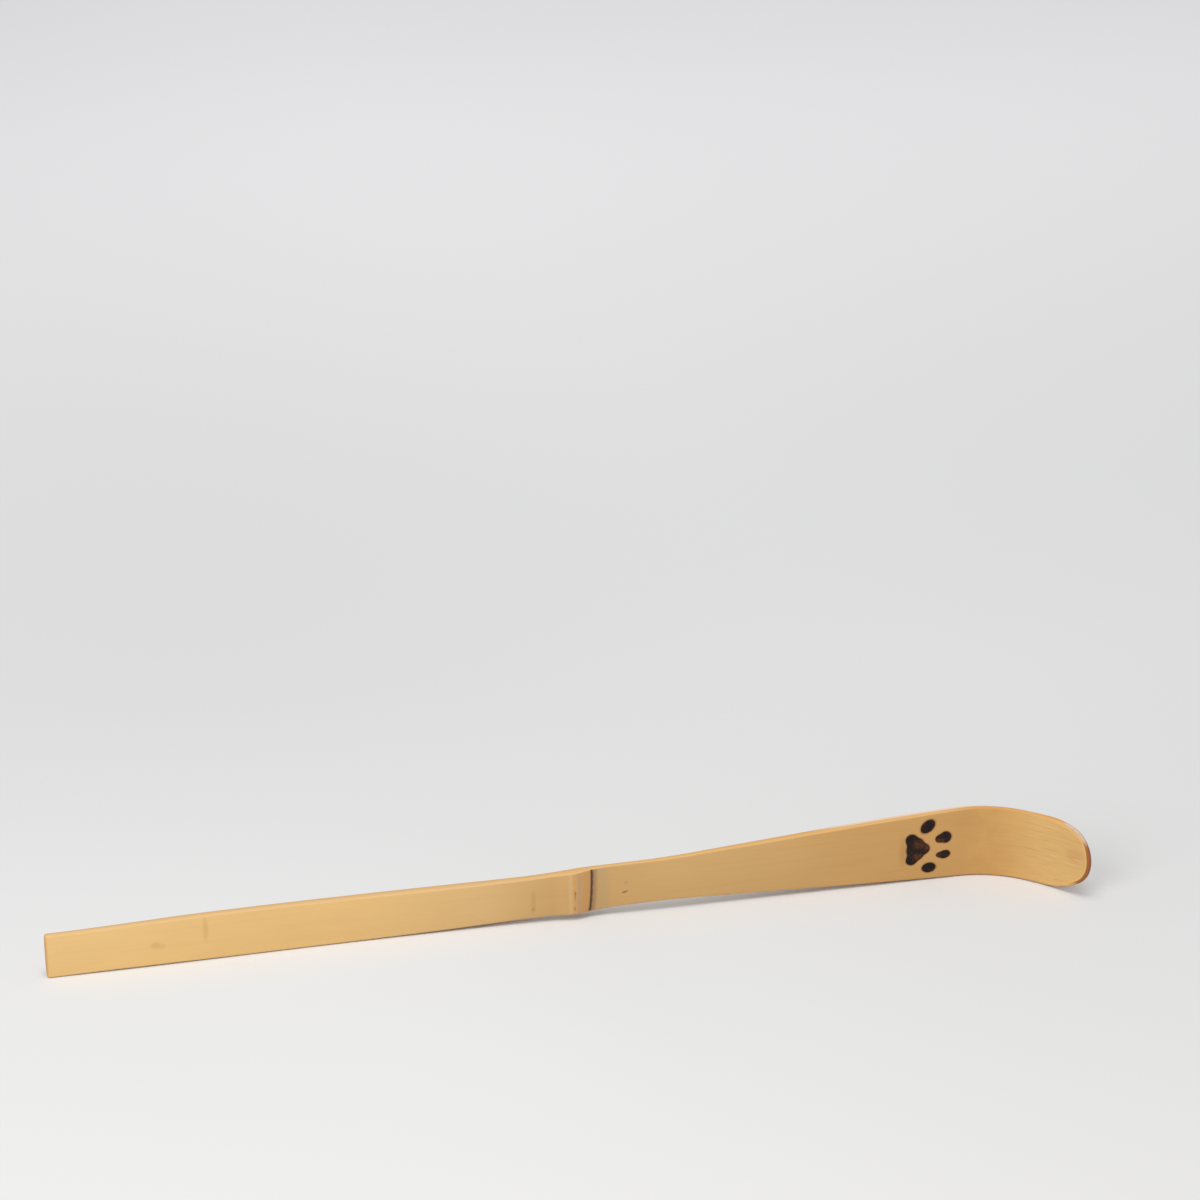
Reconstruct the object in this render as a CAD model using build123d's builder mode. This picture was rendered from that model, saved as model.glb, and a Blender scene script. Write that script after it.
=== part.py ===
from build123d import *
from math import atan2, cos, degrees, radians, sin, sqrt, tan
import os

# Chashaku tea scoop: one strip of bamboo, whittled to its taper and bent at the tip.
# It stands on its long edge, with the skin of the bamboo towards -Y and the bent tip at +X.
# The origin is under the middle of the scoop, on the surface that it stands on.
# Along the strip, x runs from the cut end of the handle. Across its thickness, y is 0 at the
# skin of the blade and grows towards the back. Across its width, the strip is the same on both
# sides, apart from the nose of its tip.

overall_length = 180.0

# Depth of the skin: the handle leans forward a little, up to the culm node.
cut_end_skin = 0.15
handle_middle = 34.0
handle_middle_skin = 0.0
handle_belly = 70.0
handle_belly_skin = -0.9
ridge_foot = 87.0
ridge_foot_skin = -0.85

# Culm node: the skin swells to a ridge, then drops steeply and eases into the blade.
ridge_crest = 90.9
ridge_crest_skin = -1.2
ridge_rise_reach = 1.6
ridge_fall_reach = 1.9
blade_start = 99.0
blade_start_reach = 5.6

# Bend: a tight curve, and then the slower curve of the lip.
bend_radius = 14.0
bend_angle = 44.5
lip_radius = 38.5
lip_angle = 21.7
lip_thickness = 0.9

# Depth of the back: flat along the handle, hollowed under the node, thinned over the bend.
cut_end_back = 2.5
flat_back_end = 58.0
flat_back_end_back = 1.65
hollow_middle = 82.0
hollow_middle_back = 1.3
hollow_end = 106.0
hollow_end_back = 1.5
blade_full = 148.0
blade_back = 2.15
bend_start_thickness = 1.72
mid_bend_thickness = 1.15

# Half widths of the face: slim in the handle, swollen at the node, then spreading to the blade.
cut_end_half_width = 3.86
handle_half_width = 4.09
handle_taper = 62.0
handle_taper_half_width = 3.94
neck = 84.0
neck_half_width = 3.7
node_middle = 94.5
node_half_width = 3.98
node_reach = 4.0
waist = 105.0
waist_half_width = 3.9
blade_spread = 120.0
blade_spread_half_width = 4.47
blade_middle = 136.0
blade_middle_half_width = 5.27
blade_full_half_width = 5.85
blade_width = 13.1

# Rounded end of the tip: a pointed arch with a round nose, a little above the middle.
nose_radius = 5.5
arch_side_radius = 13.7
nose_lift = 0.3

# How far a cutting outline runs past the wood.
spare = 2.0

# Edges as the knife and the paper leave them.
cut_corner_radius = 0.5
skin_edge_radius = 0.3
back_edge_radius = 0.4

# How far the normal of a face leans when the face is one of the skin or of the back.
clear_lean = 0.2
slight_lean = 0.1


def bend_point(angle, thickness):
    """Point over the tight bend, that angle into it and that far behind the skin."""
    reach = bend_radius + thickness
    turn = radians(angle)
    return (bend_start + reach * sin(turn), reach * cos(turn) - bend_radius)


def soft_step(start, end, start_reach, end_reach):
    """Points of a curve that leaves its start and reaches its end along the strip."""
    return (start, (start[0] + start_reach, start[1]), (end[0] - end_reach, end[1]), end)


def skin_faces(faces):
    """The faces along the skin, which look forwards, or back to the handle in the bend."""
    return faces.filter_by(
        lambda face: face.normal_at().Y < -clear_lean and face.normal_at().X < slight_lean
    )


def back_faces(faces):
    """The faces along the back, which look backwards, or away from the handle in the bend."""
    return faces.filter_by(
        lambda face: face.normal_at().Y > clear_lean and face.normal_at().X > -slight_lean
    )


def rim_of(faces):
    """The edges round a run of faces, without the ones between two of them."""
    edges = faces.edges()
    return edges.filter_by(lambda edge: sum(edge.is_same(other) for other in edges) == 1)


# Where the bend starts, so that the whole scoop has its overall length.
end_angle = bend_angle + lip_angle
bend_run = bend_radius * sin(radians(bend_angle))
lip_run = lip_radius * (sin(radians(end_angle)) - sin(radians(bend_angle)))
bend_start = overall_length - bend_run - lip_run - lip_thickness * sin(radians(end_angle))

# The strip stands on its lower edge near the cut end and under the widest part of the blade.
# The blade is wider than the handle, so the strip's middle line rises towards the tip.
heel = 1.0
tread = 168.0
widest = bend_start + bend_run
blade_half_width = blade_width / 2
rise = atan2(blade_half_width - cut_end_half_width, tread - heel)
cut_end_height = cut_end_half_width - heel * tan(rise)

# The origin lies halfway between the nose of the tip and the back of the handle.
bend_drop = bend_radius * (1 - cos(radians(bend_angle)))
lip_drop = lip_radius * (cos(radians(bend_angle)) - cos(radians(end_angle)))
skin_depth = (bend_drop + lip_drop - cut_end_back) / 2

# The side arcs of the arch are tangent to the sides of the blade and to its nose.
side_drop = arch_side_radius - blade_half_width
upper_drop = side_drop + nose_lift
lower_drop = side_drop - nose_lift
upper_set_back = sqrt((arch_side_radius - nose_radius) ** 2 - upper_drop**2)
lower_set_back = sqrt((arch_side_radius - nose_radius) ** 2 - lower_drop**2)
upper_angle = degrees(atan2(upper_drop, upper_set_back))
lower_angle = degrees(atan2(lower_drop, lower_set_back))
arch_length = nose_radius + lower_set_back
arch_angle = end_angle - degrees(arch_length / lip_radius) / 2

cut_end_centre = (-overall_length / 2, skin_depth, cut_end_height)
long_axis = (cos(rise), 0, sin(rise))
strip_plane = Plane(cut_end_centre, x_dir=long_axis, z_dir=(-sin(rise), 0, cos(rise)))
face_plane = Plane(cut_end_centre, x_dir=long_axis, z_dir=(0, -1, 0))

with BuildPart() as bamboo_scoop:
    # The strip seen on its long edge, with its skin, its bend and its whittled back.
    with BuildSketch(strip_plane.offset(-blade_half_width - spare)):
        with BuildLine():
            handle_skin = Spline(
                (0, cut_end_skin),
                (handle_middle, handle_middle_skin),
                (handle_belly, handle_belly_skin),
                (ridge_foot, ridge_foot_skin),
                tangents=((1, 0), (1, 0)),
            )
            crest = (ridge_crest, ridge_crest_skin)
            foot = (ridge_foot, ridge_foot_skin)
            Bezier(*soft_step(foot, crest, ridge_rise_reach, ridge_rise_reach))
            ridge_fall = Bezier(
                *soft_step(crest, (blade_start, 0), ridge_fall_reach, blade_start_reach)
            )
            blade_skin = Line(ridge_fall @ 1, (bend_start, 0))
            bend_skin = JernArc(blade_skin @ 1, blade_skin % 1, bend_radius, -bend_angle)
            lip_skin = JernArc(bend_skin @ 1, bend_skin % 1, lip_radius, -lip_angle)
            lip_normal = (lip_skin % 1).rotate(Axis.Z, 90)
            lip_end = Line(lip_skin @ 1, lip_skin @ 1 + lip_normal * lip_thickness)
            lip_back = JernArc(lip_end @ 1, -(lip_skin % 1), lip_radius + lip_thickness, lip_angle)
            bend_back = Spline(
                lip_back @ 1,
                bend_point(bend_angle / 2, mid_bend_thickness),
                bend_point(0, bend_start_thickness),
                (blade_full, blade_back),
                tangents=(lip_back % 1, (-1, 0)),
            )
            flat_back = Line((flat_back_end, flat_back_end_back), (0, cut_end_back))
            hollow_back = Spline(
                bend_back @ 1,
                (hollow_end, hollow_end_back),
                (hollow_middle, hollow_middle_back),
                flat_back @ 0,
                tangents=((-1, 0), flat_back % 0),
            )
            Line(flat_back @ 1, handle_skin @ 0)
        make_face()
    extrude(amount=blade_width + 2 * spare)

    # The face's outline: a slim handle that swells at the node and widens into the blade.
    with BuildSketch(face_plane.offset(-cut_end_back - spare)):
        with BuildLine():
            Spline(
                (0, cut_end_half_width),
                (handle_middle, handle_half_width),
                (handle_taper, handle_taper_half_width),
                (neck, neck_half_width),
                tangents=((1, 0), (1, 0)),
            )
            node_side = (node_middle, node_half_width)
            Bezier(*soft_step((neck, neck_half_width), node_side, node_reach, node_reach))
            Bezier(*soft_step(node_side, (waist, waist_half_width), node_reach, node_reach))
            blade_edge = Spline(
                (waist, waist_half_width),
                (blade_spread, blade_spread_half_width),
                (blade_middle, blade_middle_half_width),
                (blade_full, blade_full_half_width),
                (widest, blade_half_width),
                tangents=((1, 0), (1, 0)),
            )
            tip_edge = Line(blade_edge @ 1, (overall_length + spare, blade_half_width))
            mirror(about=Plane.XZ)
            Line((0, cut_end_half_width), (0, -cut_end_half_width))
            Line(tip_edge @ 1, (overall_length + spare, -blade_half_width))
        make_face()
        fillet(vertices().group_by(Axis.X)[0], cut_corner_radius)
    extrude(amount=cut_end_back + bend_drop + lip_drop + 2 * spare, mode=Mode.INTERSECT)

    # The end of the lip, rounded by a cut square to its last stretch.
    lip_location = Pos((lip_skin @ 1).X, (lip_skin @ 1).Y) * Rot(0, 0, -arch_angle) * Rot(90, 0, 0)
    with BuildSketch(strip_plane * lip_location):
        Rectangle(2 * arch_length, 2 * blade_width)
        with BuildLine():
            CenterArc((-nose_radius, nose_lift), nose_radius, -lower_angle, lower_angle + upper_angle)
            upper_centre = (-nose_radius - upper_set_back, -side_drop)
            upper_side = CenterArc(upper_centre, arch_side_radius, upper_angle, 90 - upper_angle)
            lower_centre = (-arch_length, side_drop)
            lower_side = CenterArc(lower_centre, arch_side_radius, -90, 90 - lower_angle)
            Polyline(upper_side @ 1, (-arch_length, blade_half_width), lower_side @ 0)
        make_face(mode=Mode.SUBTRACT)
    extrude(amount=blade_half_width, both=True, mode=Mode.SUBTRACT)

    # The edges are eased: finely round the skin, and more round the back.
    for facing, radius in ((skin_faces, skin_edge_radius), (back_faces, back_edge_radius)):
        fillet(rim_of(facing(bamboo_scoop.faces())), radius)

bamboo_scoop.part.label = "bamboo_scoop"
os.makedirs("parts", exist_ok=True)
export_step(bamboo_scoop.part, "parts/bamboo_scoop.step")
print("size", bamboo_scoop.part.bounding_box())
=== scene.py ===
"""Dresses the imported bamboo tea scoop: one strip with its node, its bent tip and a burned paw."""

import math
from functools import lru_cache, reduce
from types import SimpleNamespace

import bmesh
import bpy
from bpy.props import FloatProperty, FloatVectorProperty, PointerProperty
from bpy.types import Operator, Panel, PropertyGroup
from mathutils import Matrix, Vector, noise


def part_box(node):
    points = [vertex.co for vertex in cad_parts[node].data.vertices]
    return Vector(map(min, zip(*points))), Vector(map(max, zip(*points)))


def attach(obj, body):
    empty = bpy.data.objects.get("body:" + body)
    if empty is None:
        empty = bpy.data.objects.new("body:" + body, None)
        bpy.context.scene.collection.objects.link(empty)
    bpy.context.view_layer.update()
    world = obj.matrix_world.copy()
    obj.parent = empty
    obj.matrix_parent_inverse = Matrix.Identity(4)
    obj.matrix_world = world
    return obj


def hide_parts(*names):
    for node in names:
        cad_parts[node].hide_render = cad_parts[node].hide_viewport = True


bl_info = {
    "name": "Bamboo tea scoop",
    "version": (1, 0, 0),
    "blender": (4, 5, 0),
    "location": "View3D > Sidebar > Tea scoop",
    "description": "Models a whittled bamboo tea scoop with its finish, its floor and its lights",
    "category": "Add Mesh",
}

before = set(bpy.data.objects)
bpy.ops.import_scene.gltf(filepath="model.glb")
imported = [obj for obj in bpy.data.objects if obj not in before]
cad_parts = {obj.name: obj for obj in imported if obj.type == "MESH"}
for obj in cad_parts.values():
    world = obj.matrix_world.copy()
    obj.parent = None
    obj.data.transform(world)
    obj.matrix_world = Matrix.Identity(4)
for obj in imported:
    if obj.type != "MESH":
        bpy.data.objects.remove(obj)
FLOOR_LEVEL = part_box("bamboo_scoop")[0].z

# Lengths are in millimetres in the formulas of the strip, and this turns them into metres.
MM = 0.001

# Along the strip, s runs from the cut end over the skin. Across it, w runs from edge to edge.
# Depth runs from the skin of the blade to the back.
OVERALL_LENGTH = 180.0

# Depth of the skin: the leaning handle, then the foot of the node, its ridge and its drop.
RIDGE_FOOT, RIDGE_CREST, BLADE_START = (87.0, -0.85), (90.9, -1.2), (99.0, 0.0)
RIDGE_RISE_REACH, RIDGE_FALL_REACH, BLADE_START_REACH = 1.6, 1.9, 5.6
HANDLE_SKIN = ((0.0, 0.15), (34.0, 0.0), (70.0, -0.9), RIDGE_FOOT)

# Bend: a tight curve, and then the slower curve of the lip.
BEND_RADIUS, BEND_ANGLE = 14.0, math.radians(44.5)
LIP_RADIUS, LIP_ANGLE, LIP_THICKNESS = 38.5, math.radians(21.7), 0.9
END_ANGLE = BEND_ANGLE + LIP_ANGLE
BEND_RUN = BEND_RADIUS * math.sin(BEND_ANGLE)
LIP_RUN = LIP_RADIUS * (math.sin(END_ANGLE) - math.sin(BEND_ANGLE))
BEND_START = OVERALL_LENGTH - BEND_RUN - LIP_RUN - LIP_THICKNESS * math.sin(END_ANGLE)
BEND_END = BEND_START + BEND_RADIUS * BEND_ANGLE
STRIP_END = BEND_END + LIP_RADIUS * LIP_ANGLE

# Depth of the back: flat along the handle, hollowed under the node, thinned over the bend.
FLAT_BACK_START, FLAT_BACK_END, BLADE_BACK = (0.0, 2.5), (58.0, 1.65), (148.0, 2.15)
FLAT_BACK_SLOPE = (FLAT_BACK_END[1] - FLAT_BACK_START[1]) / FLAT_BACK_END[0]
HOLLOW_BACK = (FLAT_BACK_END, (82.0, 1.3), (106.0, 1.5), BLADE_BACK)
MIDDLE_OF_BEND = (BEND_START + BEND_END) / 2
THINNED_BACK = (
    BLADE_BACK,
    (BEND_START, 1.72),
    (MIDDLE_OF_BEND, 1.15),
    (BEND_END, LIP_THICKNESS),
)

# Half widths of the face: slim in the handle, swollen at the node, then spreading to the blade.
CUT_END_HALF_WIDTH, BLADE_HALF_WIDTH = 3.86, 6.55
WIDEST = BEND_START + BEND_RUN
HANDLE_EDGE = ((0.0, CUT_END_HALF_WIDTH), (34.0, 4.09), (62.0, 3.94), (84.0, 3.7))
NODE_SIDE, NODE_REACH = (94.5, 3.98), 4.0
BLADE_EDGE = ((105.0, 3.9), (120.0, 4.47), (136.0, 5.27), (148.0, 5.85), (WIDEST, BLADE_HALF_WIDTH))

# The strip stands on its lower edge at its heel and at its tread, under the wide part of the
# blade, so its middle line rises. The origin lies halfway between its lip and its handle's back.
HEEL, TREAD = 1.0, 168.0
RISE = math.atan2(BLADE_HALF_WIDTH - CUT_END_HALF_WIDTH, TREAD - HEEL)
CUT_END_HEIGHT = CUT_END_HALF_WIDTH - HEEL * math.tan(RISE)
BEND_DROP = BEND_RADIUS * (1 - math.cos(BEND_ANGLE))
LIP_DROP = LIP_RADIUS * (math.cos(BEND_ANGLE) - math.cos(END_ANGLE))
SKIN_DEPTH = (BEND_DROP + LIP_DROP - FLAT_BACK_START[1]) / 2

# Rounded end of the tip: an arch with a round nose, and its upper shoulder a little fuller.
NOSE_RADIUS, ARCH_SIDE_RADIUS, NOSE_LIFT = 5.5, 13.7, 0.3
SHOULDER_FULLNESS, SHOULDER_REACH = 0.22, 2.4
NOSE_LEAN = 0.13

# The end of the tip is bevelled towards the skin, less at its lower side and upper shoulder.
BEVEL_WIDTH, BEVEL_DEPTH, BEVEL_START, BEVEL_FULL = 0.65, 0.25, 175.5, 180.0
BEVEL_LOW, BEVEL_HIGH = -5.3, -2.6
BEVEL_FADE, BEVEL_FADE_SHARE = (1.0, 4.2), 0.6
CROWN_LOST_AT_TIP = 0.8

# Corners of the cut end, and the eased and slightly worn edge all round.
CORNER_RADIUS, CUT_END_TRIM = 0.38, 0.2
EDGE_RADIUS, EDGE_RINGS = 0.3, 4
EDGE_WEAR, WEAR_ALONG, WEAR_ACROSS, WEAR_SEED = 0.08, 0.25, 0.2, 2.0

# The back: long edges rounded off towards the cut end, knife facets, and the trimmed scar of the
# node. All of them are shallower where the wood is thinned.
HEEL_ROUNDING, HEEL_FADE = 0.9, (2.0, 28.0)
FACET_DEPTH, FACETS_ALONG, FACETS_ACROSS, FACET_SEED = 0.05, 0.09, 0.35, 7.3
SCAR_MIDDLE, SCAR_BOW, SCAR_HALF_WIDTH, SCAR_HEIGHT = 91.5, 0.04, 0.7, 0.05
THINNING, THINNING_SHARE = (138.0, 162.0), 0.55

# The dark crack at the sheath scar of the node bows across the strip. It is cut as far as its
# reach, which counts in its half widths.
CRACK_MIDDLE, CRACK_LEAN, CRACK_BOW = 94.12, 0.063, -0.008
CRACK_DEPTH, CRACK_HALF_WIDTH, CRACK_REACH = 0.16, 0.2, 4
CRACK_DARK_HALF_WIDTH = 0.24

# Runs of the mesh along the strip: where each one ends, and its number of rows. The rows of the
# arch lie closer together towards its end.
CORNER_ROWS = 5
RUNS = ((86.0, 110), (101.0, 110), (149.8, 64), (160.2, 92), (170.6, 34))
ARCH_ROWS, ARCH_CROWDING = 36, 1.7
ACROSS = 76

# The gap that places before the tip carry, and how often the search for a place is halved.
FAR_FROM_END, HALVINGS = 9.0, 24

# The burned paw: round and oval marks, each with its place, its two radii and its turn in degrees.
PAW_PAD = (
    (152.3, 1.66, 1.1, 1.08, 0.0),
    (152.28, -2.14, 1.05, 0.98, 0.0),
    (152.82, -0.25, 1.48, 1.75, 0.0),
    (153.55, 0.85, 1.3, 1.0, -40.0),
    (153.5, -1.22, 1.35, 1.0, 40.0),
    (154.68, -0.27, 0.98, 0.98, 0.0),
)
PAW_TOES = (
    (155.31, 3.86, 1.5, 1.06, 38.0),
    (158.55, 1.47, 1.12, 1.08, 0.0),
    (157.45, 1.28, 0.75, 0.72, 0.0),
    (158.4, -1.77, 1.07, 0.78, 8.0),
    (157.5, -1.75, 0.68, 0.48, 0.0),
    (155.53, -3.97, 1.29, 0.95, 1.0),
)
PAW_BOX = (149.8, 160.2)
MARK_LEVEL = 0.25
MARK_REACH = 1.0 / math.sqrt(1.0 - math.sqrt(MARK_LEVEL))
SINK_START, SINK_FULL = 0.6 * MARK_LEVEL, 1.8 * MARK_LEVEL
CHAR_ROUGHNESS, CHAR_GRAIN, CHAR_SEED = 0.25, 2.5, 0.5

# Places in the paw that are browned and not black, partly painted highlights on the glossy char, and
# a faint
# singe beside it: the middle and the two radii of each.
PAW_BROWN_AND_GLINTS = (
    ((153.9, 0.7), (1.2, 0.8)),
    ((153.5, -1.7), (1.0, 0.6)),
    ((155.1, -0.1), (0.5, 0.7)),
    ((157.4, 0.75), (1.0, 0.6)),
    ((157.1, -1.7), (0.7, 0.5)),
)
SINGE = ((150.8, -0.6), (0.7, 2.3))

# The skin's colour drifts along the strip: a colour of the finish, and where it starts to show
# and is reached.
SKIN_DRIFT = (
    ("handle_middle", 8.0, 45.0),
    ("neck", 45.0, 80.0),
    ("node_foot", 74.0, 88.0),
    ("blade_root", 92.0, 112.0),
    ("blade", 115.0, 152.0),
    ("bend", 158.0, 166.0),
    # The tip's lighter colour is partly a painted lit side, where the lip turns towards the front
    # lamp.
    ("tip", 167.0, 177.0),
)

# Bands across the node: whether each one bows as the crack does, where it starts and ends, how
# softly and how strongly, and its colour from 0 to 255. They are a pale foot, the ridge, a grey
# strip, an orange hollow, the brown side of the crack and a greyish strip.
NODE_BANDS = (
    (False, 90.0, 90.45, 0.45, 0.5, (220, 187, 140)),
    (False, 90.7, 91.1, 0.25, 0.7, (210, 155, 86)),
    (False, 91.35, 92.1, 0.35, 0.8, (196, 153, 114)),
    (True, 92.5, 93.9, 0.5, 0.75, (208, 151, 90)),
    (True, 94.3, 95.0, 0.5, 0.75, (150, 116, 94)),
    (False, 95.3, 97.3, 0.7, 0.6, (192, 160, 112)),
)

# Small stains: the middle of each, its two radii, its strength and its colour from 0 to 255.
STAINS = (
    # Nicks on the root of the blade.
    ((100.0, -1.25), (0.35, 0.16), 0.85, (120, 78, 44)),
    ((100.45, -1.12), (0.22, 0.13), 0.7, (130, 84, 48)),
    ((100.36, 0.52), (0.3, 0.3), 0.35, (168, 128, 84)),
    # Specks on the ridge of the node.
    ((91.0, 0.15), (0.18, 0.35), 0.75, (150, 96, 52)),
    ((90.97, -0.55), (0.12, 0.6), 0.5, (160, 108, 62)),
    ((90.9, -2.7), (0.17, 0.35), 0.6, (158, 106, 62)),
    # A faint bar and a speck before the node, and a bar on the handle.
    ((83.7, -0.6), (0.4, 2.2), 0.35, (186, 144, 92)),
    ((83.66, -1.95), (0.3, 0.35), 0.45, (170, 128, 80)),
    ((27.1, 1.7), (0.45, 2.0), 0.5, (208, 164, 104)),
    # A brown patch with a pale fibre at the tip.
    ((183.4, 0.9), (1.9, 1.3), 0.42, (198, 146, 94)),
    ((183.2, 0.15), (1.5, 0.4), 0.35, (196, 140, 88)),
    ((183.9, 0.12), (1.3, 0.16), 0.5, (224, 186, 138)),
    # Specks near the cut end.
    ((18.5, -0.2), (0.7, 0.55), 0.5, (206, 160, 98)),
    ((19.5, -0.5), (0.6, 0.45), 0.35, (206, 160, 98)),
)

# Colours of the smaller details, as they are seen on a screen from 0 to 1.
WARM_STREAK, BROWNED_BEND = (0.78, 0.58, 0.33), (0.70, 0.52, 0.30)
DARK_FIBRE, PALE_FIBRE = (0.68, 0.49, 0.28), (0.90, 0.75, 0.52)
CUT_FIBRE, DARK_BUNDLE = (0.84, 0.66, 0.42), (0.68, 0.49, 0.29)
# The second colour on the next line is a painted highlight along the front edge of the tip's end.
TRIMMED_SCAR, PAINTED_EDGE_HIGHLIGHT, SCORCH_HALO = (0.66, 0.46, 0.27), (0.89, 0.70, 0.40), (0.59, 0.35, 0.16)

# Where the skin gives way to the cut side on the rim, and the side to the inner wood on the back.
RIM_FADE, BACK_FADE = (0.2, 0.6), (0.6, 0.98)

# Where the end grain of the tip starts to show, along the strip and above its lower side.
END_GRAIN_ALONG, END_GRAIN_ACROSS = (180.0, 181.6), (BEVEL_LOW + 0.4, BEVEL_HIGH - 1.2)

# Relief of the fibres, its height in metres, and the strength of the wood's reflections.
RELIEF_STRENGTH, RELIEF_HEIGHT = 0.25, 0.00004
SHEEN = 0.22

# The sheet of paper, in metres: half its fine middle and half its whole width, and its swell
# under the handle.
SHEET_MIDDLE, SHEET_EDGE, SHEET_CELLS = 0.2, 4.0, 80
SWELL_CREST, SWELL_HEIGHT = -0.018, 0.00079
SWELL_TO_HANDLE, SWELL_TO_BLADE = 0.061, 0.038
SWELL_FLAT, SWELL_FADE = 0.015, 0.06

# Colours of the paper in front of the scoop, under it and far behind it, from 0 to 1.
# Their steps are painted light and shade: darker under the scoop, brightest far behind.
NEAR_PAPER, PAPER, FAR_PAPER_PAINTED_LIGHT = (0.873, 0.869, 0.864), (0.861, 0.859, 0.857), (0.962, 0.958, 0.962)

# The lamps, in metres: the place, the target and the size of each. Then the tint of the room.
OVERHEAD_LAMP = ((-0.2, -0.4, 1.9), (0.0, 0.1, 0.0), 1.2)
FRONT_LAMP = ((-0.7, -0.65, 0.6), (0.0, 0.0, 0.0), 0.6)
ROOM_TINT = (0.97, 0.985, 1.0, 1.0)

# The camera's sensor in millimetres, and its nearest and farthest view in metres.
SENSOR_WIDTH = 36.0
NEAREST_VIEW, FARTHEST_VIEW = 0.05, 20.0


def flow(points, at, start_slope=0.0, end_slope=0.0):
    """Value at a place of the smooth curve that runs through the points."""
    last = len(points) - 1
    slopes = [start_slope]
    for before, after in zip(points, points[2:]):
        slopes.append((after[1] - before[1]) / (after[0] - before[0]))
    slopes.append(end_slope)
    run = 0
    while run < last - 1 and at > points[run + 1][0]:
        run += 1
    (start, low), (end, high) = points[run], points[run + 1]
    length = end - start
    t = min(max((at - start) / length, 0.0), 1.0)
    lean = slopes[run] * length * t * (1 - t) ** 2 - slopes[run + 1] * length * t * t * (1 - t)
    return low + (high - low) * t * t * (3 - 2 * t) + lean


def soft_step(start, end, start_reach, end_reach, at):
    """Value at a place of the curve that leaves its start and reaches its end level."""
    low, high = 0.0, 1.0
    for _ in range(HALVINGS):
        t = (low + high) / 2
        rest = 1 - t
        place = (
            rest**3 * start[0]
            + 3 * rest * rest * t * (start[0] + start_reach)
            + 3 * rest * t * t * (end[0] - end_reach)
            + t**3 * end[0]
        )
        low, high = (t, high) if place < at else (low, t)
    return start[1] + (end[1] - start[1]) * t * t * (3 - 2 * t)


def eased(value, start, end):
    """0 before the start, 1 after the end, and between them a slope with gentle ends."""
    t = min(max((value - start) / (end - start), 0.0), 1.0)
    return t * t * (3 - 2 * t)


@lru_cache(maxsize=None)
def skin_depth(s):
    """Depth of the skin before the bend: the leaning handle, the node's ridge and the blade."""
    if s < RIDGE_FOOT[0]:
        return flow(HANDLE_SKIN, s)
    if s < RIDGE_CREST[0]:
        return soft_step(RIDGE_FOOT, RIDGE_CREST, RIDGE_RISE_REACH, RIDGE_RISE_REACH, s)
    if s < BLADE_START[0]:
        return soft_step(RIDGE_CREST, BLADE_START, RIDGE_FALL_REACH, BLADE_START_REACH, s)
    return 0.0


@lru_cache(maxsize=None)
def back_depth(s):
    """Depth of the back: flat along the handle, hollowed under the node, thinned over the bend."""
    if s < FLAT_BACK_END[0]:
        return FLAT_BACK_START[1] + FLAT_BACK_SLOPE * s
    if s < BLADE_BACK[0]:
        return flow(HOLLOW_BACK, s, FLAT_BACK_SLOPE)
    return flow(THINNED_BACK, min(s, BEND_END))


@lru_cache(maxsize=None)
def half_width(s):
    """Half of the strip's width: slim, swollen at the node, then spreading to the blade."""
    turn = min(max(s - BEND_START, 0.0) / BEND_RADIUS, BEND_ANGLE)
    x = min(s, BEND_START) + BEND_RADIUS * math.sin(turn)
    neck, waist = HANDLE_EDGE[-1], BLADE_EDGE[0]
    if x < neck[0]:
        return flow(HANDLE_EDGE, x)
    if x < NODE_SIDE[0]:
        return soft_step(neck, NODE_SIDE, NODE_REACH, NODE_REACH, x)
    if x < waist[0]:
        return soft_step(NODE_SIDE, waist, NODE_REACH, NODE_REACH, x)
    return flow(BLADE_EDGE, x)


def in_frame(s, w, depth):
    """Point of the row frame, in metres, for a place along and across the strip and its depth."""
    if s < BEND_START:
        x, y = s, depth
    elif s < BEND_END:
        turn = (s - BEND_START) / BEND_RADIUS
        reach = BEND_RADIUS + depth
        x, y = BEND_START + reach * math.sin(turn), reach * math.cos(turn) - BEND_RADIUS
    else:
        turn = BEND_ANGLE + (s - BEND_END) / LIP_RADIUS
        gap = BEND_RADIUS - LIP_RADIUS
        reach = LIP_RADIUS + depth
        x = BEND_START + gap * math.sin(BEND_ANGLE) + reach * math.sin(turn)
        y = gap * math.cos(BEND_ANGLE) + reach * math.cos(turn) - BEND_RADIUS
    return Vector(
        (
            x * math.cos(RISE) - w * math.sin(RISE) - OVERALL_LENGTH / 2,
            y + SKIN_DEPTH,
            x * math.sin(RISE) + w * math.cos(RISE) + CUT_END_HEIGHT,
        )
    ) * MM


def mark_field(marks, s, w):
    """Strength of burned marks at a place. A mark's rim is where it equals the mark level."""
    total = 0.0
    for place, across, long_radius, short_radius, turn in marks:
        c, d = math.cos(math.radians(turn)), math.sin(math.radians(turn))
        along = ((s - place) * c + (w - across) * d) / (long_radius * MARK_REACH)
        side = ((w - across) * c - (s - place) * d) / (short_radius * MARK_REACH)
        total += max(1.0 - along * along - side * side, 0.0) ** 2
    return total


def arch_shape():
    """Angles where the nose meets its side arcs, and the middles of the three arcs."""
    gap, drop = ARCH_SIDE_RADIUS - NOSE_RADIUS, ARCH_SIDE_RADIUS - BLADE_HALF_WIDTH
    upper, lower = (math.asin((drop + lift) / gap) for lift in (NOSE_LIFT, -NOSE_LIFT))
    nose_middle = Vector((STRIP_END - NOSE_RADIUS, NOSE_LIFT))
    upper_middle = Vector((nose_middle.x - gap * math.cos(upper), -drop))
    lower_middle = Vector((nose_middle.x - gap * math.cos(lower), drop))
    return upper, lower, nose_middle, upper_middle, lower_middle


UPPER_TURN, LOWER_TURN, NOSE_MIDDLE, UPPER_MIDDLE, LOWER_MIDDLE = arch_shape()


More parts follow.
